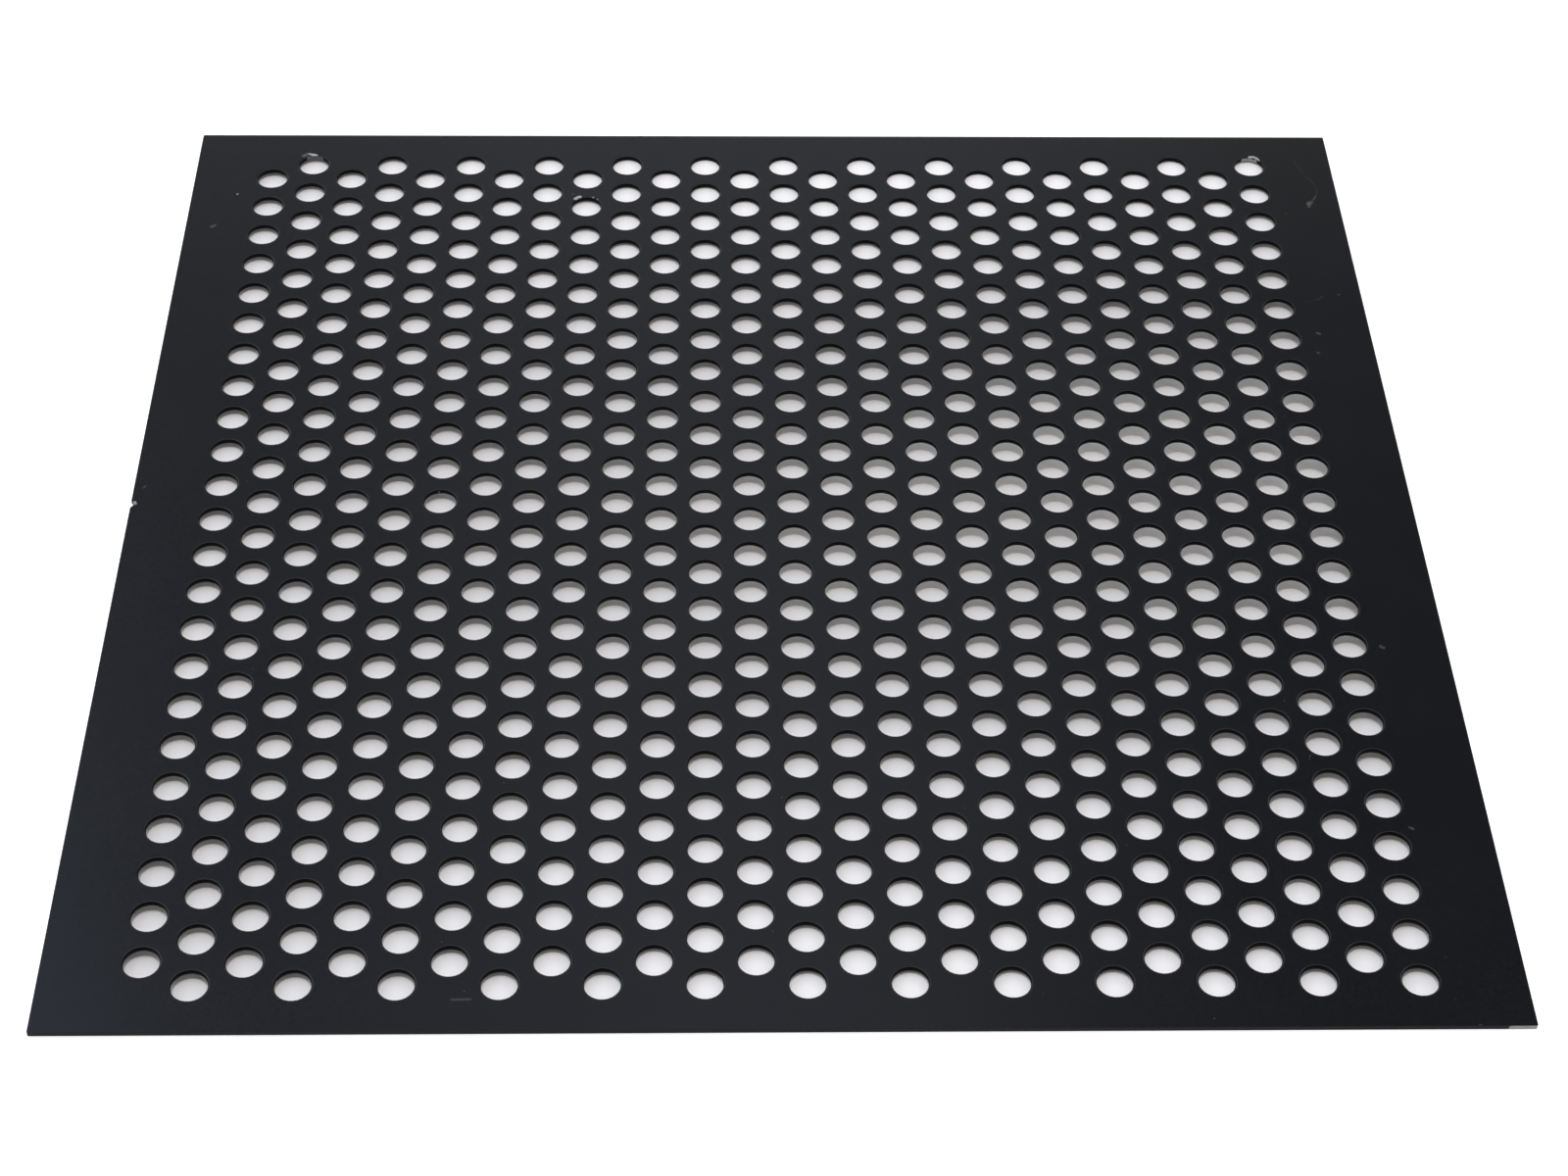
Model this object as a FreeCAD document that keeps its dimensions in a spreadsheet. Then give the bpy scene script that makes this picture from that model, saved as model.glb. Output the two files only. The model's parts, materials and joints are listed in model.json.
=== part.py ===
"""Perforated metal sheet: one piece of coated steel, punched with round holes.

The holes stand in the staggered 60 degree pattern of stock perforated sheet: columns of holes along
the sheet, each column half a step out of line with its neighbours. Columns of two lengths alternate
across the sheet, so two punch passes make the whole field. The piece was sheared from a larger
sheet with plain margins all round, which left the field a little off the middle.

Millimetres, +Z up. The origin is the centre of the underside, on the surface that the sheet lies on.
X runs across the columns and Y along them.
"""
import FreeCAD, Part
import os
import Sketcher

# Driving sizes: alias, value, what it is on the sheet.
SIZES = [
    ("sheet_across", 302.0, "sheet size in X, across the columns of holes"),
    ("sheet_along", 301.0, "sheet size in Y, along the columns of holes"),
    ("gauge", 1.0, "thickness of the bare steel sheet"),
    ("coat", 0.05, "thickness of the coat on each face"),
    ("hole_diameter", 8.0, "round hole as punched"),
    ("pitch", 12.0, "centre to centre of holes in neighbouring columns"),
    ("stagger", 60.0, "angle of the line from a hole to the next column's, in degrees"),
    ("side_border", 15.0, "least solid border beside the centred field, to the X edges"),
    ("end_border", 7.0, "least solid border beside the centred field, to the Y edges"),
    ("shift_across", -0.7, "how far shearing left the field off the middle in X"),
    ("shift_along", -0.8, "how far shearing left the field off the middle in Y"),
]

# The layout follows from the driving sizes. As many columns as fit between the side borders are
# punched, and as many holes in a long column as fit between the end borders. A short column has one
# hole less. At 60 degrees the step along a column is the pitch itself.
COLUMN_STEP = "(Sizes.pitch * sin(Sizes.stagger))"
HOLE_STEP = "(2 * Sizes.pitch * cos(Sizes.stagger))"
FIELD_ROOM_ACROSS = "(Sizes.sheet_across - Sizes.hole_diameter - 2 * Sizes.side_border)"
FIELD_ROOM_ALONG = "(Sizes.sheet_along - Sizes.hole_diameter - 2 * Sizes.end_border)"
COLUMNS = f"(floor({FIELD_ROOM_ACROSS} / {COLUMN_STEP}) + 1)"
LONG_COUNT = f"(floor({FIELD_ROOM_ALONG} / {HOLE_STEP}) + 1)"
SHORT_COUNT = f"({LONG_COUNT} - 1)"


def make_sizes(doc):
    """The spreadsheet that every feature takes its sizes from."""
    cells = doc.addObject("Spreadsheet::Sheet", "Sizes")
    for row, (alias, value, note) in enumerate(SIZES, start=1):
        cells.set(f"A{row}", alias)
        cells.set(f"B{row}", str(value))
        cells.set(f"C{row}", note)
        cells.setAlias(f"B{row}", alias)
    doc.recompute()


def origin_feature(body, role):
    """The body's own origin plane or axis of that role."""
    return next(item for item in body.Origin.OriginFeatures if item.Role == role)


def underside_sketch(body, name):
    """A sketch of the body on its XY plane, the underside of the sheet."""
    sketch = body.newObject("Sketcher::SketchObject", name)
    sketch.AttachmentSupport = (origin_feature(body, "XY_Plane"), [""])
    sketch.MapMode = "FlatFace"
    return sketch


def sheared_blank(body):
    """The plain blank: a sheared rectangle centred on the origin, one sheet thickness high."""
    sketch = underside_sketch(body, "blank_outline")
    half = 100.0  # only where the lines are first drawn: the constraints below set the outline
    corners = [(-half, -half), (half, -half), (half, half), (-half, half)]
    for start, end in zip(corners, corners[1:] + corners[:1]):
        sketch.addGeometry(Part.LineSegment(FreeCAD.Vector(*start), FreeCAD.Vector(*end)), False)
    for side in range(4):
        sketch.addConstraint(Sketcher.Constraint("Coincident", side, 2, (side + 1) % 4, 1))
    for side in (0, 2):
        sketch.addConstraint(Sketcher.Constraint("Horizontal", side))
    for side in (1, 3):
        sketch.addConstraint(Sketcher.Constraint("Vertical", side))
    sketch.addConstraint(Sketcher.Constraint("Symmetric", 0, 1, 1, 2, -1, 1))
    across = sketch.addConstraint(Sketcher.Constraint("DistanceX", 0, 1, 0, 2, 2 * half))
    along = sketch.addConstraint(Sketcher.Constraint("DistanceY", 1, 1, 1, 2, 2 * half))
    sketch.setExpression(f"Constraints[{across}]", "Sizes.sheet_across")
    sketch.setExpression(f"Constraints[{along}]", "Sizes.sheet_along")
    blank = body.newObject("PartDesign::Pad", "blank")
    blank.Profile = sketch
    blank.setExpression("Length", "Sizes.gauge + 2 * Sizes.coat")


def punch_pass(doc, body, name, first_column, hole_count):
    """One punch pass: every other column across the sheet, counted from first_column.

    The first hole is punched at the near end of the pass's first column. It is then repeated along
    the column, and the column is repeated across the sheet at two column steps.
    """
    doc.recompute()
    volume_before = body.Shape.Volume
    from_middle_x = f"({COLUMNS} - 1) / 2 * {COLUMN_STEP} - {first_column} * {COLUMN_STEP}"
    from_middle_y = f"({hole_count} - 1) / 2 * {HOLE_STEP}"
    columns_in_pass = f"floor(({COLUMNS} + 1 - {first_column}) / 2)"

    sketch = underside_sketch(body, f"{name}_hole_outline")
    drawn_at = 10.0  # only where the circle is first drawn, as above
    centre = FreeCAD.Vector(-drawn_at, -drawn_at)
    sketch.addGeometry(Part.Circle(centre, FreeCAD.Vector(0, 0, 1), 1.0), False)
    to_origin_x = sketch.addConstraint(Sketcher.Constraint("DistanceX", 0, 3, -1, 1, drawn_at))
    to_origin_y = sketch.addConstraint(Sketcher.Constraint("DistanceY", 0, 3, -1, 1, drawn_at))
    diameter = sketch.addConstraint(Sketcher.Constraint("Diameter", 0, 2.0))
    sketch.setExpression(f"Constraints[{to_origin_x}]", f"{from_middle_x} - Sizes.shift_across")
    sketch.setExpression(f"Constraints[{to_origin_y}]", f"{from_middle_y} - Sizes.shift_along")
    sketch.setExpression(f"Constraints[{diameter}]", "Sizes.hole_diameter")

    hole = body.newObject("PartDesign::Pocket", f"{name}_hole")
    hole.Profile = sketch
    hole.Type = "ThroughAll"
    hole.Reversed = True  # the outline is on the underside, so the cut runs up through the sheet
    doc.recompute()
    if hole.Shape.Volume >= volume_before:
        raise RuntimeError(f"{name}: the first hole cut nothing")

    field = body.newObject("PartDesign::LinearPattern", f"{name}_columns")
    field.Originals = [hole]
    field.Direction = (origin_feature(body, "Y_Axis"), [""])
    field.Mode = "Extent"
    field.setExpression("Length", f"({hole_count} - 1) * {HOLE_STEP}")
    field.setExpression("Occurrences", hole_count)
    field.Direction2 = (origin_feature(body, "X_Axis"), [""])
    field.Mode2 = "Extent"
    field.setExpression("Length2", f"({columns_in_pass} - 1) * 2 * {COLUMN_STEP}")
    field.setExpression("Occurrences2", columns_in_pass)
    body.Tip = field
    doc.recompute()
    print(f"{name} columns: {field.Occurrences2} of {field.Occurrences} holes")


def perforated_sheet(doc):
    """The whole sheet: the blank, the short columns' pass, then the long columns' pass."""
    body = doc.addObject("PartDesign::Body", "perforated_sheet")
    body.Label = "perforated_sheet"
    body.Placement = FreeCAD.Placement()
    sheared_blank(body)
    punch_pass(doc, body, "short", 0, SHORT_COUNT)
    punch_pass(doc, body, "long", 1, LONG_COUNT)
    return body


def check_and_export(doc, bodies):
    """Stop on any failed feature or unsound solid, then write one STEP file for each piece."""
    for item in doc.Objects:
        if "Invalid" in item.State or "Error" in item.State:
            raise RuntimeError(f"{item.Name}: {item.State}")
    for body in bodies:
        if body.Shape.isNull() or not body.Shape.isValid() or len(body.Shape.Solids) != 1:
            raise RuntimeError(f"{body.Label}: not one sound solid")
    os.makedirs("parts", exist_ok=True)
    for body in bodies:
        body.Shape.exportStep(f"parts/{body.Label}.step")
        print(f"{body.Label}: {len(body.Shape.Faces)} faces, {body.Shape.Volume:.1f} mm3")


document = FreeCAD.newDocument("perforated_metal_sheet")
make_sizes(document)
sheet = perforated_sheet(document)
document.recompute()
check_and_export(document, [sheet])
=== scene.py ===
# %% [markdown]
# # A perforated metal sheet
#
# This lesson builds the looks of one sheet of perforated steel, about 300 mm square and
# 1 mm thick, painted satin black. Its pattern is the common one for guards and grilles:
# round 8 mm holes on a 12 mm pitch, with every second column moved by half a pitch, so
# that each hole has six equal neighbours.
#
# The shape has been settled in CAD and arrives as a fixed frame. Blender adds what CAD
# left out: the rolled rims that a punch leaves, the satin coat, its chips and scuffs,
# and a small studio to show them in.

# %% Load the fixed frame
import json
import math

import bpy
import numpy as np
from mathutils import Matrix, Vector
from mathutils.geometry import delaunay_2d_cdt


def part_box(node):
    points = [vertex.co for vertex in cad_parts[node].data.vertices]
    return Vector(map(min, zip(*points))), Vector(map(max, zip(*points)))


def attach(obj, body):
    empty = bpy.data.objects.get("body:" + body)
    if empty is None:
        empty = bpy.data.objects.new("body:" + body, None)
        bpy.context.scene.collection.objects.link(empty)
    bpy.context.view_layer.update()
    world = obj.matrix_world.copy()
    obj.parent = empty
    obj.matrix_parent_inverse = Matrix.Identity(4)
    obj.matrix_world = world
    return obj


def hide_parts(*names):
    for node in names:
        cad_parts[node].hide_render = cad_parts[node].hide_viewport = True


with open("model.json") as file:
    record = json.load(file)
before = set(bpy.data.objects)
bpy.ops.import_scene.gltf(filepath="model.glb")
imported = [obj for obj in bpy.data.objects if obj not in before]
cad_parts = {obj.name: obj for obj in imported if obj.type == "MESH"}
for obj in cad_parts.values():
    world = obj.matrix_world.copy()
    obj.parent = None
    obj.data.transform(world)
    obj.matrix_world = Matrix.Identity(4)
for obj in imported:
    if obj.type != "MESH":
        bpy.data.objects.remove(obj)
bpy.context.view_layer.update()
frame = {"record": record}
MM = 0.001
sheet_low, sheet_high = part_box("perforated_sheet")
TOP = sheet_high.z
print("sheet in mm:", [round(v / MM, 2) for v in sheet_high - sheet_low])

# %% [markdown]
# ## Where the holes are
#
# A sheet like this is punched by a row of tools that steps along it, so one hole size
# and two steps describe all 611 holes. The record names the corner holes of the long
# columns and of the short ones. The gap between the two patterns is one column step,
# and the difference of their lengths is one hole step. Nothing has to be typed twice.

# %% Work out the hole grid
mounts = {m["name"]: m for m in frame["record"]["mounts"]}
long_corners = mounts["long_column_corner_holes"]
short_corners = mounts["short_column_corner_holes"]
HOLE_R = long_corners["dims"]["hole_r_mm"] * MM
column_step = long_corners["pos_m"][0] - short_corners["pos_m"][0]
hole_step = (long_corners["dims"]["spacing_y_mm"] - short_corners["dims"]["spacing_y_mm"]) * MM


def columns_of(corners):
    """The hole centres of every second column, from the pattern of its corner holes."""
    reach_x = corners["dims"]["spacing_x_mm"] * MM
    reach_y = corners["dims"]["spacing_y_mm"] * MM
    across = np.linspace(-reach_x / 2, reach_x / 2, round(reach_x / column_step / 2) + 1)
    along = np.linspace(-reach_y / 2, reach_y / 2, round(reach_y / hole_step) + 1)
    x, y = np.meshgrid(across + corners["pos_m"][0], along + corners["pos_m"][1])
    return np.stack([x.ravel(), y.ravel()], 1)


holes = np.concatenate([columns_of(long_corners), columns_of(short_corners)])
print(len(holes), "holes, steps in mm:", round(column_step / MM, 3), round(hole_step / MM, 3))

# %% [markdown]
# ## The camera
#
# The sheet is looked down on from the front at about 44 degrees, from 0.7 m away, with a
# longer lens, so its sides run together gently towards the back. The camera is tipped a
# little, as a hand-set tripod head is. It is placed by angle and distance from a point on
# the sheet, which is easier to read than a bare position.

# %% Place the camera
LENS, SENSOR = 70.47, 36.0
ELEVATION, SWING, TIP = math.radians(44.22), math.radians(1.93), math.radians(1.267)
DISTANCE = 703.07 * MM
AIM_RIGHT, AIM_BACK = 1.75 * MM, -24.27 * MM
aim = Vector(((sheet_low.x + sheet_high.x) / 2 + AIM_RIGHT,
              (sheet_low.y + sheet_high.y) / 2 + AIM_BACK, TOP))
away = Vector((-math.sin(SWING) * math.cos(ELEVATION), -math.cos(SWING) * math.cos(ELEVATION),
               math.sin(ELEVATION)))

camera_data = bpy.data.cameras.new("camera")
camera_data.lens = LENS
camera_data.sensor_width = SENSOR
camera = bpy.data.objects.new("camera", camera_data)
bpy.context.scene.collection.objects.link(camera)
camera.location = aim + away * DISTANCE
turn = (-away).to_track_quat("-Z", "Y").to_matrix() @ Matrix.Rotation(TIP, 3, "Z")
camera.rotation_euler = turn.to_euler()
bpy.context.scene.camera = camera
bpy.context.scene.view_settings.view_transform = "Standard"
print("camera at mm:", [round(v / MM, 1) for v in camera.location])

# %% [markdown]
# ## Helpers for node trees
#
# Every material below is a node tree, and so is the light. One small function adds a node
# and sets its sockets: a plain value is stored in the socket, and another node's output is
# linked. The others are short names for the nodes that are used most: one sum, one mix of
# two values or two colours, and one smooth ramp from one range of values to another.

# %% Define the node helpers
def add(tree, kind, inputs=None, **settings):
    """Adds a node, sets its options, and fills its inputs with values or links."""
    made = tree.nodes.new("ShaderNode" + kind)
    for name, value in settings.items():
        setattr(made, name, value)
    for key, value in (inputs or {}).items():
        if isinstance(value, bpy.types.NodeSocket):
            tree.links.new(value, made.inputs[key])
        else:
            made.inputs[key].default_value = value
    return made


def math_of(tree, operation, *values):
    """One Math node, and its output."""
    return add(tree, "Math", dict(enumerate(values)), operation=operation).outputs[0]


def remap(tree, value, low, high, to_low=0.0, to_high=1.0):
    """Value taken from low..high to to_low..to_high, eased at both ends."""
    made = add(tree, "MapRange", {"Value": value, "From Min": low, "From Max": high,
                                  "To Min": to_low, "To Max": to_high},
               interpolation_type="SMOOTHSTEP")
    return made.outputs["Result"]


def mix_of(tree, factor, first, second):
    """A number mixed between two."""
    return add(tree, "Mix", {"Factor": factor, "A": first, "B": second},
               data_type="FLOAT").outputs["Result"]


def blend(tree, factor, first, second):
    """A colour mixed between two; its sockets share their names with others, so they go by number."""
    return add(tree, "Mix", {"Factor": factor, 6: first, 7: second}, data_type="RGBA").outputs[2]


# %% [markdown]
# ## The table top
#
# The sheet lies on white board. Sheet steel is never quite flat: this one is arched, so
# it touches near its edges and stands two to three millimetres clear in the middle and to
# the right of it. The gap decides how far the light through each hole lands from the hole,
# and so how much of a grey crescent shows inside it. Bending the sheet would be one way to
# get that gap, but CAD has settled it flat. So the board takes the gap instead: it sinks
# gently under the sheet and is level outside.
#
# Round the sheet the board should read as plain white, and under it as board in shade.
# Real board also lets light spread sideways inside it, so the shade under the holes is
# grey and not black where the gap is wide. Light spreading inside a material is slow to
# work out. A little glow stands for it, and whitens the open board: the camera and mirror
# images see it, but it lights nothing. Past a gap of 1.4 mm it grows, by half as much on
# the right as on the left.

# %% Shape the board
SLOPE_SIDES, SLOPE_ENDS = 12 * MM, 4 * MM


def eased(value, low, high):
    """0 below low, 1 above high, and a smooth step between."""
    t = np.clip((value - low) / (high - low), 0.0, 1.0)
    return t * t * (3 - 2 * t)


def gap_under(x, y):
    """How far the board lies below the sheet's underside at a place, in metres.

    It adds up three smooth curves, in millimetres: the arch, the lift of the edges and the
    swell on the right. They are drawn in u and v, from -1 to 1 across and along the sheet.
    """
    u, v = x / sheet_high.x, y / sheet_high.y
    arch = np.exp(-((v - 0.05) / 0.65) ** 2) * (2.0 + 1.1 * u - 1.24 * u * u)
    lift = 0.94 * u * u - 0.46 * u - 0.32 * v - 0.05
    swell = 0.85 * eased(u, 0.0, 0.7) * np.exp(-((v - 0.22) / 0.32) ** 2)
    inset_x = eased(sheet_high.x - np.abs(x), 0.0, SLOPE_SIDES)
    inset_y = eased(sheet_high.y - np.abs(y), 0.0, SLOPE_ENDS)
    return np.maximum(arch + lift + swell, 0.0) * inset_x * inset_y * MM


fine = np.linspace(-1, 1, 151)
far = np.array([-12.0, -4.0, -1.6])
ticks = np.concatenate([far, fine, -far[::-1]])
across, along = np.meshgrid(ticks * sheet_high.x, ticks * sheet_high.y)
floor_verts = np.column_stack([across.ravel(), along.ravel(), -gap_under(across, along).ravel()])
n = len(ticks)
floor_faces = [(r * n + c, r * n + c + 1, (r + 1) * n + c + 1, (r + 1) * n + c)
               for r in range(n - 1) for c in range(n - 1)]
floor_mesh = bpy.data.meshes.new("floor")
floor_mesh.from_pydata(floor_verts.tolist(), [], floor_faces)
floor_mesh.shade_smooth()
floor = bpy.data.objects.new("floor", floor_mesh)
bpy.context.scene.collection.objects.link(floor)
print("deepest gap in mm:", round(-floor_verts[:, 2].min() / MM, 2))

# %% Colour the board
BOARD = (0.965, 0.93, 0.905, 1.0)
WHITE = (1.0, 1.0, 1.0, 1.0)
GLOW_UNDER, GLOW_OUTSIDE = 0.03, 0.42
GLOW_STARTS_MM = 1.4
GLOW_PER_MM_LEFT, GLOW_PER_MM_RIGHT = 0.14, 0.07
TURN_FROM, TURN_TO = 10 * MM, 90 * MM
GLOW_EDGE = 4 * MM

board = bpy.data.materials.new("white_board")
board.use_nodes = True
tree = board.node_tree
tree.nodes.clear()
spot = add(tree, "SeparateXYZ", {0: add(tree, "TexCoord").outputs["Object"]})
off_x = math_of(tree, "SUBTRACT", math_of(tree, "ABSOLUTE", spot.outputs["X"]), sheet_high.x)
off_y = math_of(tree, "SUBTRACT", math_of(tree, "ABSOLUTE", spot.outputs["Y"]), sheet_high.y)
outside = remap(tree, math_of(tree, "MAXIMUM", off_x, off_y), -GLOW_EDGE, 0.0)
path = add(tree, "LightPath")
seen = math_of(tree, "MAXIMUM", path.outputs["Is Camera Ray"], path.outputs["Is Glossy Ray"])
seen = math_of(tree, "MAXIMUM", seen, path.outputs["Is Transmission Ray"])
deep = math_of(tree, "MULTIPLY_ADD", spot.outputs["Z"], -1 / MM, -GLOW_STARTS_MM)
deep = math_of(tree, "MAXIMUM", deep, 0.0)
per_mm = remap(tree, spot.outputs["X"], TURN_FROM, TURN_TO, GLOW_PER_MM_LEFT, GLOW_PER_MM_RIGHT)
glow = math_of(tree, "MULTIPLY_ADD", outside, GLOW_OUTSIDE, GLOW_UNDER)
glow = math_of(tree, "MULTIPLY", math_of(tree, "MULTIPLY_ADD", deep, per_mm, glow), seen)
matt = add(tree, "BsdfDiffuse", {"Color": BOARD})
lift = add(tree, "Emission", {"Color": WHITE, "Strength": glow})
both = add(tree, "AddShader", {0: matt.outputs[0], 1: lift.outputs[0]})
add(tree, "OutputMaterial", {"Surface": both.outputs[0]})
floor_mesh.materials.append(board)
print("board colour:", BOARD[:3], "glow outside:", round(GLOW_OUTSIDE + GLOW_UNDER, 2))

# %% [markdown]
# ## Light
#
# A black satin sheet shows two things: the light that falls through its holes, and the
# mirror image of whatever stands behind it. One small round lamp high overhead draws a
# crisp disc of light through each hole. The lamp is kept out of mirror images, as with a
# polarising filter, so the face has no hot spot from any side. The rest is soft: bright
# low down all round, as from white walls, dimmer overhead, and stronger from the back than
# from the front. In a mirror image no wall looks brighter than white. Walls could be built
# as bright objects, but the world's own brightness, drawn by direction, is just as soft
# and leaves nothing standing about.
#
# A dark card stands behind the sheet, where its mirror image lies, so that the black stays
# black. It is darkest on the right, lightest near its middle and lighter towards its top.
# Past its left end the bright wall shows again, and there the light is cooler. Directions
# are told by how far up they look, from 0 to 1, and how far aside they look for each step
# back. Together the lamp and the walls light a level face to a little over 1, at which a
# colour looks much as it is written. The camera itself sees plain white past the board.

# %% Walls and overhead
WALLS_FRONT, WALLS_BACK, WALLS_TURN = 0.50, 2.60, (-0.6, 0.6)
OVER_FRONT, OVER_BACK, OVER_TURN = 0.05, 1.25, (-0.25, 0.25)
WALLS_TOP = (0.75, 0.44)
BACK_LEAN = -0.10

world = bpy.data.worlds.new("studio")
world.use_nodes = True
tree = world.node_tree
tree.nodes.clear()
towards = add(tree, "SeparateXYZ", {0: add(tree, "TexCoord").outputs["Generated"]})
upward, back = towards.outputs["Z"], towards.outputs["Y"]
backward = math_of(tree, "MULTIPLY_ADD", towards.outputs["X"], BACK_LEAN, back)
overhead = remap(tree, backward, *OVER_TURN, OVER_FRONT, OVER_BACK)
walls = remap(tree, backward, *WALLS_TURN, WALLS_FRONT, WALLS_BACK)
open_room = mix_of(tree, remap(tree, upward, *WALLS_TOP), overhead, walls)
print("walls, front and back:", WALLS_FRONT, WALLS_BACK, "overhead:", OVER_FRONT, OVER_BACK)

# %% The dark card
CARD_LEFT, CARD_RIGHT = (-0.50, -0.28), (0.90, 0.60)
CARD_FOOT, CARD_TOP = (0.460, 0.530), (0.99, 0.80)
CARD_LEVEL, CARD_LEFT_SHARE, CARD_TOP_SHARE = 0.285, 0.18, 1.55
FADE_RIGHT, FADE_LEFT, FADE_UP = (0.26, 0.08), (-0.24, -0.04), (0.60, 0.82)
BEHIND = 0.05

aside = math_of(tree, "DIVIDE", towards.outputs["X"], math_of(tree, "MAXIMUM", back, BEHIND))
across_card = math_of(tree, "MULTIPLY", remap(tree, aside, *CARD_LEFT), remap(tree, aside, *CARD_RIGHT))
up_card = math_of(tree, "MULTIPLY", remap(tree, upward, *CARD_FOOT), remap(tree, upward, *CARD_TOP))
card = math_of(tree, "MULTIPLY", math_of(tree, "MULTIPLY", across_card, up_card),
               math_of(tree, "GREATER_THAN", back, BEHIND))
card_level = math_of(tree, "MULTIPLY", remap(tree, aside, *FADE_RIGHT, 0.0, CARD_LEVEL),
                     remap(tree, aside, *FADE_LEFT, CARD_LEFT_SHARE, 1.0))
card_level = math_of(tree, "MULTIPLY", card_level,
                     remap(tree, upward, *FADE_UP, 1.0, CARD_TOP_SHARE))
level = mix_of(tree, card, open_room, card_level)
print("card, at its lightest:", round(CARD_LEVEL * CARD_TOP_SHARE, 3))

# %% Mirror limit and tone
MIRROR_LIMIT = 1.0
BACK_TONE = (0.965, 1.0, 1.15, 1.0)
LEFT_TONE = (0.86, 1.0, 1.28, 1.0)
TONE_BACK, TONE_UP, TONE_LEFT = (0.05, 0.35), (0.45, 0.60), (-0.15, -0.45)

path = add(tree, "LightPath")
level = mix_of(tree, path.outputs["Is Glossy Ray"], level, math_of(tree, "MINIMUM", level, MIRROR_LIMIT))
level = mix_of(tree, path.outputs["Is Camera Ray"], level, 1.0)
cool = math_of(tree, "MULTIPLY", remap(tree, back, *TONE_BACK), remap(tree, upward, *TONE_UP))
tone = blend(tree, remap(tree, aside, *TONE_LEFT), BACK_TONE, LEFT_TONE)
sky = add(tree, "Background", {"Color": blend(tree, cool, WHITE, tone), "Strength": level})
add(tree, "OutputWorld", {"Surface": sky.outputs[0]})
bpy.context.scene.world = world
print("world nodes:", len(tree.nodes))

# %% The lamp
def round_lamp(name, share, radius, place):
    """A round lamp facing down, so strong that alone it lights a face below it to a share of 1."""
    data = bpy.data.lights.new(name, "AREA")
    data.shape = "DISK"
    data.size = 2 * radius
    data.energy = math.pi ** 2 * share * (radius ** 2 + place[2] ** 2)
    lamp = bpy.data.objects.new(name, data)
    lamp.location = place
    lamp.visible_glossy = False
    bpy.context.scene.collection.objects.link(lamp)
    print(name, "watts:", round(data.energy, 2))


round_lamp("key", share=0.24, radius=0.24, place=(-0.05, 0.0, 3.0))

# %% [markdown]
# ## The rim of a punched hole
#
# A punch first drags the skin of the metal down with it, so the upper rim is rolled over.
# Then it cuts a straight land, and the rest of the thickness tears and opens out a
# little. The coat was put on afterwards. It draws back round the rim into a soft shoulder
# and builds up on the wall, so the open width is about half a millimetre less than the
# 8 mm of the punch. The profile below is that section: how far each ring stands back
# from the punched wall, its height, and which way the surface looks there. A bevel would
# round both rims alike, but the rolled one and the torn one differ, so they are drawn.
# Round the sheared outline the roll is small and the coat adds nothing.

# %% Draw the rim profiles
SEGMENTS = 26
TORN_SHARE = 0.34


def rim_profile(roll, tear, build_up):
    """Rings from the face down to the underside: (stand back, height, tilt from upright)."""
    rings = []
    for tilt in (0.0, 30.0, 60.0, 90.0):
        t = math.radians(tilt)
        rings.append((roll * (1 - math.sin(t)) - build_up, TOP - roll * (1 - math.cos(t)), t))
    rings.append((-build_up, sheet_low.z + TORN_SHARE * (TOP - sheet_low.z), math.pi / 2))
    rings.append((tear - build_up, sheet_low.z, math.pi / 2))
    return rings


hole_rim = rim_profile(roll=0.50 * MM, tear=0.16 * MM, build_up=0.26 * MM)
sheared_edge = rim_profile(roll=0.06 * MM, tear=0.02 * MM, build_up=0.0)
print("hole rim rings in mm:", [(round(b / MM, 3), round(z / MM, 3)) for b, z, _ in hole_rim])

# %% [markdown]
# ## The outline
#
# The blank is sheared square, then handled: its corners are barely broken, and the left
# edge has taken one knock that left a small notch. The outline is drawn once as a loop
# of points with the direction that faces away from the metal at each, so that the rim
# profile can be swept along it. That also keeps the notch as part of the sheet, where a
# cut made afterwards would leave it without its small roll.

# %% Draw the outline
CORNER = 0.35 * MM
RUNS = 40
NOTCH_ROOM = 0.5
NOTCH = [(0.0, 5.5), (0.35, 5.3), (0.65, 4.8), (0.75, 4.4), (0.6, 3.9), (0.3, 3.4), (0.0, 3.0)]


def corner_arc(x, y, start):
    """Points of a small rounded corner, starting at an angle in degrees."""
    centre_x = x - math.copysign(CORNER, x)
    centre_y = y - math.copysign(CORNER, y)
    turns = [math.radians(start + 30 * k) for k in range(4)]
    return [(centre_x + CORNER * math.cos(a), centre_y + CORNER * math.sin(a)) for a in turns]


def outline_points():
    """The sheet's outline, anticlockwise from the front right corner; NOTCH is (depth, place) in mm."""
    x1, y1, x0, y0 = sheet_high.x, sheet_high.y, sheet_low.x, sheet_low.y
    shares = [k / RUNS for k in range(1, RUNS)]
    notch_low, notch_high = (NOTCH[-1][1] - NOTCH_ROOM) * MM, (NOTCH[0][1] + NOTCH_ROOM) * MM
    right = [(x1, y0 + (y1 - y0) * s) for s in shares]
    back = [(x1 + (x0 - x1) * s, y1) for s in shares]
    left = [(x0, y1 + (y0 - y1) * s) for s in shares]
    left = [p for p in left if not notch_low < p[1] < notch_high]
    left += [(x0 + depth * MM, y * MM) for depth, y in NOTCH]
    left.sort(key=lambda p: -p[1])
    front = [(x0 + (x1 - x0) * s, y0) for s in shares]
    return np.array(corner_arc(x1, y0, -90) + right + corner_arc(x1, y1, 0) + back
                    + corner_arc(x0, y1, 90) + left + corner_arc(x0, y0, 180) + front)


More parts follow.
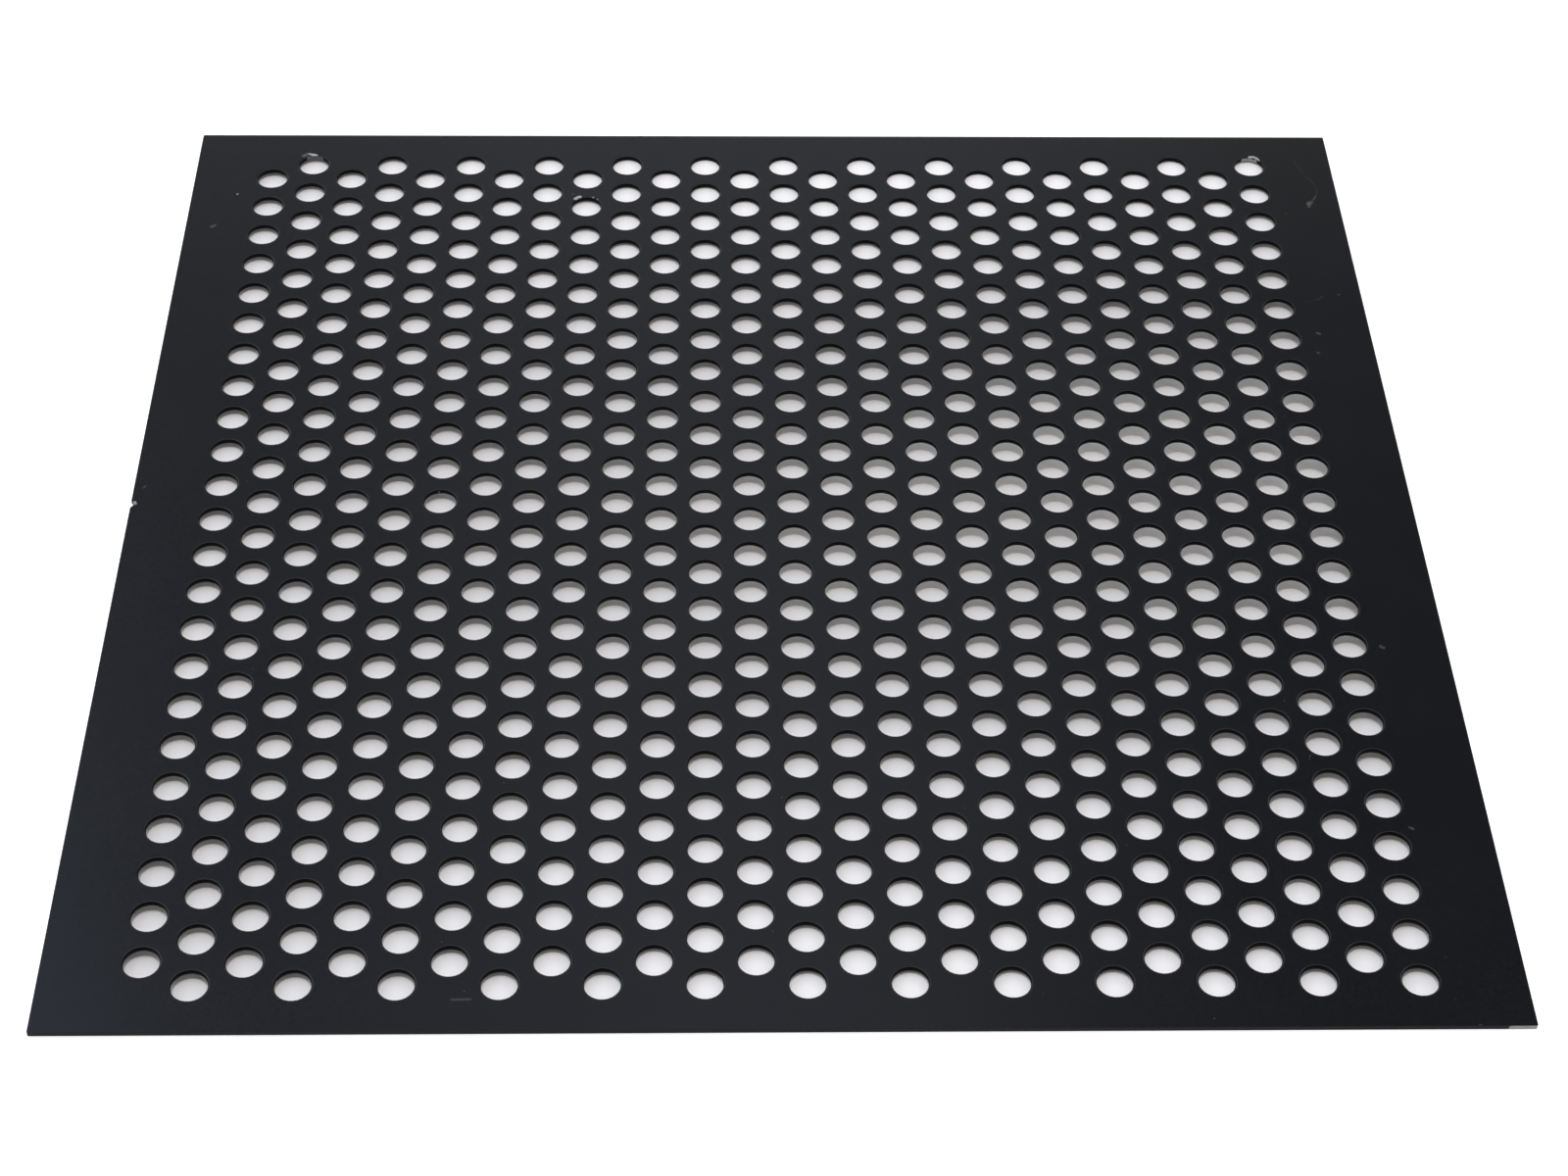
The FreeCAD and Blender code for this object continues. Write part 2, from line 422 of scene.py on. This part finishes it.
# %% Which way each point faces
# edge_out looks square off the run ahead; mitre moves both neighbouring runs out by one unit.
outline = outline_points()
ahead = np.roll(outline, -1, 0) - outline
ahead /= np.linalg.norm(ahead, axis=1)[:, None]
edge_out = np.stack([ahead[:, 1], -ahead[:, 0]], 1)
before = np.roll(edge_out, 1, 0)
mitre = (edge_out + before) / (1 + (edge_out * before).sum(1))[:, None]
outward = mitre / np.linalg.norm(mitre, axis=1)[:, None]
print("outline points:", len(outline))

# %% [markdown]
# ## The sheet's mesh
#
# Cutting 611 holes out of a plate with booleans would be slow and leave ragged triangles,
# so the mesh is built outwards from its rims. Every loop, round a hole or round the
# outline, is swept down its profile. The flat faces above and below are then filled
# between the loops by a constrained Delaunay triangulation, which joins existing points
# only, so that all 611 holes together stay below 200,000 triangles.
#
# Stored normals give each face its true direction: flat faces stay dead flat right up to
# the rolled rim, and the rims stay round although they have few segments. The first band
# of a rim still has the finish of the face, and the bands below it have that of the wall.

# %% Sweep the rims
FACE_COAT, HOLE_COAT, UNDER_COAT, EDGE_COAT = range(4)

round_about = np.linspace(0, 2 * math.pi, SEGMENTS, endpoint=False)
spokes = np.stack([np.cos(round_about), np.sin(round_about)], 1)

inwards = spokes[::-1]
loops = [(centre + HOLE_R * inwards, -inwards, -inwards, hole_rim, HOLE_COAT) for centre in holes]
loops.append((outline, mitre, outward, sheared_edge, EDGE_COAT))

vertices, faces, corner_normals, side_slots, top_loops, bottom_loops = [], [], [], [], [], []
start = 0
for points, offset, facing_out, profile, wall_coat in loops:
    count = len(points)
    rings = []
    for back_off, height, tilt in profile:
        ring = points - offset * back_off
        vertices.append(np.column_stack([ring, np.full(count, height)]))
        looks = np.column_stack([facing_out * math.sin(tilt), np.full(count, math.cos(tilt))])
        rings.append((start + np.arange(count), looks))
        start += count
    for band, ((upper, upper_looks), (lower, lower_looks)) in enumerate(zip(rings, rings[1:])):
        # Below the first band, a hole's rim takes the hole finish, whose darker colour is painted shade.
        side_slots.append(np.full(count, wall_coat if band else FACE_COAT))
        after = np.roll(np.arange(count), -1)
        faces.append(np.column_stack([upper, lower, lower[after], upper[after]]))
        corner_normals.append(np.stack([upper_looks, lower_looks,
                                        lower_looks[after], upper_looks[after]], 1))
    top_loops.append(rings[0][0])
    bottom_loops.append(rings[-1][0])
vertices = np.concatenate(vertices)
side_faces = np.concatenate(faces)
side_normals = np.concatenate(corner_normals)
print("swept faces:", len(side_faces))

# %% [markdown]
# The triangulation also fills the holes and the notch. So two kinds of triangle are then
# thrown out: those with all three corners on one hole, and those with all three on the
# outline whose middle lies outside it, as across the notch.

# %% Fill the two faces
KEEP_INSIDE, NEARNESS_MM = 1, 1e-5


def within(line, point):
    """Whether a point lies inside a closed line, by counting crossings to its right."""
    x0, y0 = line[:, 0], line[:, 1]
    x1, y1 = np.roll(x0, -1), np.roll(y0, -1)
    spans = (y0 > point[1]) != (y1 > point[1])
    crossing = x0[spans] + (point[1] - y0[spans]) * (x1[spans] - x0[spans]) / (y1[spans] - y0[spans])
    return (crossing > point[0]).sum() % 2 == 1


top_index = np.concatenate(top_loops)
bottom_index = np.concatenate(bottom_loops)
loop_of = np.concatenate([np.full(len(t), k) for k, t in enumerate(top_loops)])
flat_points = [Vector(p) for p in vertices[top_index][:, :2] / MM]
ends = np.cumsum([len(t) for t in top_loops])
starts = ends - [len(t) for t in top_loops]
borders = [(a + k, a + (k + 1) % (b - a)) for a, b in zip(starts, ends) for k in range(b - a)]
made_points, _, made_faces, made_from, _, _ = delaunay_2d_cdt(
    flat_points, borders, [], KEEP_INSIDE, NEARNESS_MM, True)
assert len(made_points) == len(flat_points)
kept = np.array([source[0] for source in made_from])
triangles = kept[np.array(made_faces)]
own = loop_of[triangles]
inside_hole = (own == own[:, :1]).all(1) & (own[:, 0] < len(holes))
middle = vertices[top_index[triangles]][:, :, :2].mean(1)
edge_line = vertices[top_loops[-1]][:, :2]
beyond = (own == len(holes)).all(1)
beyond[beyond] = [not within(edge_line, point) for point in middle[beyond]]
triangles = triangles[~inside_hole & ~beyond]
a, b, c = vertices[top_index[triangles]][:, :, :2].transpose(1, 0, 2)
clockwise = np.cross(b - a, c - a) < 0
triangles = np.where(clockwise[:, None], triangles[:, ::-1], triangles)
top_faces = top_index[triangles]
bottom_faces = bottom_index[triangles[:, ::-1]]
print("triangles in each face:", len(triangles))

# %% Put the sheet together
loop_vertices = np.concatenate([side_faces.ravel(), top_faces.ravel(), bottom_faces.ravel()])
loop_totals = np.concatenate([np.full(len(side_faces), 4), np.full(2 * len(triangles), 3)])
loop_starts = np.concatenate([[0], np.cumsum(loop_totals)[:-1]])
slots = np.concatenate(side_slots + [np.full(len(triangles), FACE_COAT),
                                     np.full(len(triangles), UNDER_COAT)])
up = np.tile((0.0, 0.0, 1.0), (top_faces.size, 1))
normals = np.concatenate([side_normals.reshape(-1, 3), up, -up])

sheet_mesh = bpy.data.meshes.new("punched_sheet")
sheet_mesh.vertices.add(len(vertices))
sheet_mesh.vertices.foreach_set("co", vertices.astype(np.float32).ravel())
sheet_mesh.loops.add(len(loop_vertices))
sheet_mesh.loops.foreach_set("vertex_index", loop_vertices.astype(np.int32))
sheet_mesh.polygons.add(len(loop_totals))
sheet_mesh.polygons.foreach_set("loop_start", loop_starts.astype(np.int32))
sheet_mesh.polygons.foreach_set("material_index", slots.astype(np.int32))
sheet_mesh.update(calc_edges=True)
sheet_mesh.validate()
sheet_mesh.shade_smooth()
sheet_mesh.normals_split_custom_set([Vector(v) for v in normals])
sheet = bpy.data.objects.new("punched_sheet", sheet_mesh)
bpy.context.scene.collection.objects.link(sheet)
sheet_mesh.calc_loop_triangles()
print("sheet triangles:", len(sheet_mesh.loop_triangles))

# %% [markdown]
# ## Three effects that the finishes share
#
# The coat on the face, in the holes and on the edges has three things in common: the fine
# grain of sprayed paint, places where a knock has marked it, and a little dust. Each is
# made once, as a node group with named sockets, and placed in every material with values
# of its own. All of them work from the place on the sheet in millimetres, so they stay
# where they are from any side. The first group is the grain: small bumps to look at from
# close by, and broad clouds that keep the colour from being the same everywhere.

# %% Group: sprayed grain
CLOUDS_PER_MM = 0.03


def new_group(name, inputs, outputs):
    """An empty node group: its tree, its named inputs as links, and its named outputs."""
    tree = bpy.data.node_groups.new(name, "ShaderNodeTree")
    for socket, kind, value in inputs:
        made = tree.interface.new_socket(name=socket, in_out="INPUT", socket_type="NodeSocket" + kind)
        made.default_value = value
    for socket in outputs:
        tree.interface.new_socket(name=socket, in_out="OUTPUT", socket_type="NodeSocketFloat")
    return tree, tree.nodes.new("NodeGroupInput").outputs, tree.nodes.new("NodeGroupOutput").inputs


grain_group, given, result = new_group(
    "sprayed_grain", [("Place", "Vector", (0, 0, 0)), ("Size", "Float", 0.4)], ["Height", "Cloud"])
fineness = math_of(grain_group, "DIVIDE", 1.0, given["Size"])
lumps = add(grain_group, "TexNoise", {"Vector": given["Place"], "Scale": fineness,
                                      "Detail": 3.0, "Roughness": 0.62})
clouds = add(grain_group, "TexNoise", {"Vector": given["Place"], "Scale": CLOUDS_PER_MM,
                                       "Detail": 3.0, "Roughness": 0.6})
grain_group.links.new(lumps.outputs["Fac"], result["Height"])
grain_group.links.new(clouds.outputs["Fac"], result["Cloud"])
print("group:", grain_group.name)

# %% [markdown]
# Marks could be painted on a picture laid over the sheet, but a short list of places says
# the same and stays sharp from close by. A mark is the place within a given width of a
# short line, like the end of a brush drawn from one point to another, and a line whose two
# ends are the same is a spot. The distance to that line is put out by a wandering amount,
# which gives the ragged rim of a real chip, and Soft says how wide its border is. Strength
# is how much of the paint is gone, or how much of the smear is there. The distance is
# taken in all three directions, so that one mark runs over a rim and down into the hole.

# %% Group: a mark
mark_group, given, result = new_group(
    "mark", [("Place", "Vector", (0, 0, 0)), ("From", "Vector", (0, 0, 0)), ("To", "Vector", (0, 0, 0)),
             ("Width", "Float", 0.3), ("Soft", "Float", 0.1), ("Wander", "Float", 0.0),
             ("Strength", "Float", 1.0)], ["Mask"])


def vector_of(tree, operation, first, second):
    """One Vector Math node on two vectors."""
    return add(tree, "VectorMath", {0: first, 1: second}, operation=operation)


stroke = vector_of(mark_group, "SUBTRACT", given["To"], given["From"]).outputs["Vector"]
offset = vector_of(mark_group, "SUBTRACT", given["Place"], given["From"]).outputs["Vector"]
square = vector_of(mark_group, "DOT_PRODUCT", stroke, stroke).outputs["Value"]
reach = vector_of(mark_group, "DOT_PRODUCT", offset, stroke).outputs["Value"]
reach = math_of(mark_group, "DIVIDE", reach, math_of(mark_group, "MAXIMUM", square, 0.0001))
reach = math_of(mark_group, "MINIMUM", math_of(mark_group, "MAXIMUM", reach, 0.0), 1.0)
nearest = add(mark_group, "VectorMath", {0: stroke, "Scale": reach}, operation="SCALE").outputs["Vector"]
apart = vector_of(mark_group, "SUBTRACT", offset, nearest).outputs["Vector"]
away_by = add(mark_group, "VectorMath", {0: apart}, operation="LENGTH").outputs["Value"]
away_by = math_of(mark_group, "ADD", away_by, given["Wander"])
inner = math_of(mark_group, "SUBTRACT", given["Width"], given["Soft"])
mask = remap(mark_group, away_by, given["Width"], inner, 0.0, given["Strength"])
mark_group.links.new(mask, result["Mask"])
print("group:", mark_group.name)

# %% [markdown]
# Dust is a scatter of pale specks, each a fraction of a millimetre. A cell pattern gives
# every small region one speck and a random number, and only a few regions keep theirs. A
# speck's size is a share of the spacing of the regions.

# %% Group: dust
SPECK_LEAST, SPECK_RANGE = 0.015, 0.05

dust_group, given, result = new_group(
    "dust", [("Place", "Vector", (0, 0, 0)), ("Spacing", "Float", 2.0), ("Amount", "Float", 0.05)], ["Mask"])
cells = add(dust_group, "TexVoronoi", {"Vector": given["Place"],
                                       "Scale": math_of(dust_group, "DIVIDE", 1.0, given["Spacing"])})
lot = add(dust_group, "SeparateColor", {0: cells.outputs["Color"]})
speck = math_of(dust_group, "MULTIPLY_ADD", lot.outputs["Green"], SPECK_RANGE, SPECK_LEAST)
here = math_of(dust_group, "LESS_THAN", cells.outputs["Distance"], speck)
picked = math_of(dust_group, "LESS_THAN", lot.outputs["Red"], given["Amount"])
dust_group.links.new(math_of(dust_group, "MULTIPLY", here, picked), result["Mask"])
print("group:", dust_group.name)

# %% [markdown]
# ## Where this sheet is marked
#
# A sheet that has been carried about has been knocked mostly at its corners and edges.
# Four kinds of mark are listed here, in millimetres from the middle of the underside:
# bare places, where the paint has gone down to steel; worn edges, bare too but with an
# even border; scratches, thin lines that only whiten the paint; and smudges, where
# something pale rubbed off on it.

# %% List the marks
FACE = TOP / MM
FRONT = sheet_low.y / MM
LEFT = sheet_low.x / MM
RIGHT = sheet_high.x / MM


def on_face(x0, y0, x1, y1, width, strength=1.0):
    """A mark on the upper face, from one place to another."""
    return (x0, y0, FACE), (x1, y1, FACE), width, strength


BARE = [
    on_face(-121.8, 142.0, -121.4, 141.8, 0.42),
    on_face(-121.0, 141.7, -120.1, 141.4, 0.55),
    ((-122.0, 140.5, 0.55), (-118.6, 140.6, 0.45), 0.65, 0.30),
    on_face(130.0, 141.4, 131.0, 141.5, 0.50),
    on_face(131.6, 141.0, 132.1, 140.2, 0.45),
    ((128.0, 140.8, 0.5), (129.8, 141.0, 0.6), 0.50, 0.75),
    ((130.0, 140.9, 0.5), (131.5, 140.3, 0.5), 0.45, 0.75),
    on_face(-50.4, 122.6, -49.3, 123.4, 0.55),
    on_face(-45.8, 123.1, -45.8, 123.2, 0.24, 0.6),
    on_face(-44.6, 122.3, -44.6, 122.3, 0.24, 0.4),
    on_face(-139.2, 124.3, -139.1, 124.4, 0.22),
    on_face(4.6, 129.0, 4.8, 128.9, 0.24),
    ((-79.6, 9.2, 0.6), (-79.1, 9.2, 0.5), 0.30, 1.0),
    on_face(116.8, 2.0, 116.8, 2.0, 0.17),
    ((LEFT + 0.9, 4.9, 0.8), (LEFT + 1.1, 4.3, 0.8), 0.48, 0.7),
]
WORN_EDGES = [
    ((RIGHT - 5.3, FRONT, 0.45), (RIGHT, FRONT, 0.45), 0.62, 0.55),
]
SCRATCHES = [
    on_face(141.7, 139.6, 143.2, 134.9, 0.14, 0.14),
    on_face(144.2, 132.7, 145.2, 130.6, 0.14, 0.16),
    on_face(145.2, 130.6, 145.9, 128.3, 0.14, 0.18),
    on_face(145.9, 128.3, 146.0, 126.0, 0.14, 0.16),
    on_face(146.0, 126.0, 145.2, 124.0, 0.16, 0.20),
    on_face(136.3, 80.0, 139.5, 80.6, 0.12, 0.16),
    on_face(139.5, 80.6, 141.4, 82.3, 0.12, 0.22),
    on_face(53.3, 5.2, 59.1, 5.2, 0.10, 0.14),
    on_face(115.0, -78.0, 115.4, -76.7, 0.14, 0.20),
    on_face(115.4, -76.7, 116.3, -76.0, 0.14, 0.20),
]
SMUDGES = [
    on_face(-123.3, 141.2, -122.4, 142.0, 0.80, 0.55),
    on_face(-51.2, 124.6, -51.0, 124.5, 0.50, 0.30),
    on_face(145.2, 124.0, 144.3, 122.4, 0.50, 0.40),
    on_face(143.5, 121.4, 143.0, 120.8, 0.90, 0.55),
    on_face(143.0, 120.6, 142.9, 119.6, 0.65, 0.40),
    on_face(136.4, 116.6, 136.4, 116.6, 0.45, 0.40),
    on_face(145.2, 82.7, 145.3, 82.7, 0.40, 0.60),
    on_face(137.6, 67.4, 138.1, 67.1, 0.60, 0.40),
    on_face(136.6, 59.8, 136.9, 59.5, 0.50, 0.40),
    on_face(136.1, -43.4, 136.6, -43.8, 0.65, 0.40),
    on_face(133.8, -97.7, 134.3, -98.0, 0.55, 0.40),
    on_face(139.1, -150.2, 139.5, -150.2, 0.35, 0.30),
    on_face(-144.3, 110.3, -143.6, 110.8, 0.70, 0.40),
    on_face(-148.8, 10.0, -148.4, 10.5, 0.50, 0.35),
    on_face(-67.3, -142.7, -63.5, -142.6, 0.50, 0.30),
]
print(len(BARE + WORN_EDGES), "bare places,", len(SCRATCHES), "scratch lines,", len(SMUDGES), "smudges")

# %% [markdown]
# ## The four finishes
#
# The outer coat is a satin black with a cool cast: a dark, slightly blue base under one
# clear gloss lobe of medium roughness. Paint hardly reaches the wall of a punched hole, so
# there it is thinner, duller and more broken, and runs over the upright marks of the punch.
# Its colour there is also darker than the outer coat's, which is painted shade of the hole.
# It is thin and dull on the sheared edges too. The underside has the outer coat again, a
# little duller and without the marks. All four are one recipe with other values, so that
# they belong together, and under the marked ones lies the same grey steel. A second, clear
# coat in the shader could carry the gloss instead, but on black paint it would look the
# same. Marks are laid over a finish only where it has some.

# %% Put marks in a tree
def group_in(tree, group, inputs):
    """Places a node group in a tree, and gives its outputs."""
    return add(tree, "Group", inputs, node_tree=group).outputs


def all_marks(tree, place, marks, soft, wander):
    """The mask of a whole list of marks, and plain 0 for an empty one."""
    mask = 0.0
    for start, end, width, strength in marks:
        one = group_in(tree, mark_group, {"Place": place, "From": start, "To": end, "Width": width,
                                          "Soft": soft, "Wander": wander, "Strength": strength})["Mask"]
        mask = math_of(tree, "MAXIMUM", mask, one)
    return mask


ON_WALLS = [mark for mark in BARE if min(mark[0][2], mark[1][2]) < FACE]
print(len(ON_WALLS), "bare places reach the walls")

# %% Lay marks over a finish
STEEL = (0.52, 0.51, 0.50, 1.0)
CHALK = (0.16, 0.16, 0.17, 1.0)
STEEL_SHINE, MARK_ROUGH = 0.85, 0.5
CHIP_SOFT, SMUDGE_SOFT = 0.08, 0.45
RAGGED_PER_MM, WANDER_MM, PATCH_LEAST = 2.2, 0.3, 0.25


def with_marks(tree, place, base, dull, bare_places=(), worn_edges=(), scratch_lines=(),
               smudge_places=()):
    """A finish's colour and roughness with marks laid over them, and its share of bare metal."""
    ragged = add(tree, "TexNoise", {"Vector": place, "Scale": RAGGED_PER_MM, "Detail": 2.0,
                                    "Roughness": 0.7}).outputs["Fac"]
    wander = math_of(tree, "MULTIPLY_ADD", ragged, 2 * WANDER_MM, -WANDER_MM)
    if scratch_lines or smudge_places:
        patchy = remap(tree, ragged, 0.35, 0.60, PATCH_LEAST, 1.0)
        scratch = all_marks(tree, place, scratch_lines, CHIP_SOFT, 0.0)
        scratch = math_of(tree, "MULTIPLY", scratch, patchy)
        smudge = all_marks(tree, place, smudge_places, SMUDGE_SOFT, wander)
        smudge = math_of(tree, "MULTIPLY", smudge, patchy)
        base = blend(tree, math_of(tree, "MAXIMUM", smudge, scratch), base, CHALK)
        dull = math_of(tree, "MAXIMUM", dull, math_of(tree, "MULTIPLY", smudge, MARK_ROUGH))
    bare = math_of(tree, "MAXIMUM", all_marks(tree, place, bare_places, CHIP_SOFT, wander),
                   all_marks(tree, place, worn_edges, CHIP_SOFT, 0.0))
    base = blend(tree, bare, base, STEEL)
    dull = math_of(tree, "MAXIMUM", dull, math_of(tree, "MULTIPLY", bare, MARK_ROUGH))
    return base, dull, math_of(tree, "MULTIPLY", bare, STEEL_SHINE)


# %% The recipe of a finish
DUST_SPACING_MM, DUST_AMOUNT, DUST_SHOWS = 2.6, 0.10, 0.35
SMOOTHER, ROUGHER = 0.02, 0.03


def coat_material(name, colour, cloud, rough, level, grain_mm, upright, bump_mm, **marks):
    """One finish; upright below 1 draws the grain out along the thickness of the sheet."""
    made = bpy.data.materials.new(name)
    made.use_nodes = True
    tree = made.node_tree
    tree.nodes.clear()
    place = add(tree, "VectorMath", {0: add(tree, "TexCoord").outputs["Object"], "Scale": 1 / MM},
                operation="SCALE").outputs["Vector"]
    drawn = vector_of(tree, "MULTIPLY", place, (1.0, 1.0, upright)).outputs["Vector"]
    grain = group_in(tree, grain_group, {"Place": drawn, "Size": grain_mm})
    dusty = group_in(tree, dust_group, {"Place": place, "Spacing": DUST_SPACING_MM,
                                        "Amount": DUST_AMOUNT})["Mask"]
    base = blend(tree, remap(tree, grain["Cloud"], 0.3, 0.7), colour, cloud)
    base = blend(tree, math_of(tree, "MULTIPLY", dusty, DUST_SHOWS), base, CHALK)
    dull = remap(tree, grain["Height"], 0.3, 0.7, rough - SMOOTHER, rough + ROUGHER)
    metallic = 0.0
    if marks:
        base, dull, metallic = with_marks(tree, place, base, dull, **marks)
    height = math_of(tree, "MULTIPLY", grain["Height"], bump_mm)
    relief = add(tree, "Bump", {"Height": height, "Strength": 1.0, "Distance": MM})
    shader = add(tree, "BsdfPrincipled", {
        "Base Color": base, "Roughness": dull, "Metallic": metallic,
        "Specular IOR Level": level, "Normal": relief.outputs[0]})
    add(tree, "OutputMaterial", {"Surface": shader.outputs[0]})
    print("finish:", name, "nodes:", len(tree.nodes))
    return made


# %% The four finishes
BLACK, BLACK_CLOUD = (0.0044, 0.0048, 0.0062, 1.0), (0.0057, 0.0061, 0.0076, 1.0)
# The second pair, for the hole walls, is darker than the first: a thinner coat, and painted shade of the
# holes.
THIN_AND_SHADED_BLACK, THIN_AND_SHADED_CLOUD = (0.0016, 0.0016, 0.0017, 1.0), (0.0036, 0.0035, 0.0034, 1.0)

finishes = {
    FACE_COAT: coat_material(
        "satin_black_coat", BLACK, BLACK_CLOUD, rough=0.21, level=0.5, grain_mm=0.45, upright=1.0,
        bump_mm=0.0012, bare_places=BARE, worn_edges=WORN_EDGES, scratch_lines=SCRATCHES,
        smudge_places=SMUDGES),
    HOLE_COAT: coat_material(
        "thin_coat_and_painted_shade_in_holes", THIN_AND_SHADED_BLACK, THIN_AND_SHADED_CLOUD, rough=0.55, level=0.10, grain_mm=0.22,
        upright=0.12, bump_mm=0.008, bare_places=ON_WALLS),
    EDGE_COAT: coat_material(
        "thin_coat_on_edges", BLACK, BLACK_CLOUD, rough=0.38, level=0.11, grain_mm=0.35,
        upright=0.3, bump_mm=0.003, bare_places=ON_WALLS, worn_edges=WORN_EDGES),
    UNDER_COAT: coat_material(
        "satin_black_underside", BLACK, BLACK_CLOUD, rough=0.24, level=0.5, grain_mm=0.45,
        upright=1.0, bump_mm=0.0012),
}
for slot in sorted(finishes):
    sheet_mesh.materials.append(finishes[slot])
print("slots in order:", [made.name for made in sheet_mesh.materials])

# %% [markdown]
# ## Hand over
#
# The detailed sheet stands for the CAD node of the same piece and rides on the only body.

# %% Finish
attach(sheet, "root")
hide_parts("perforated_sheet")
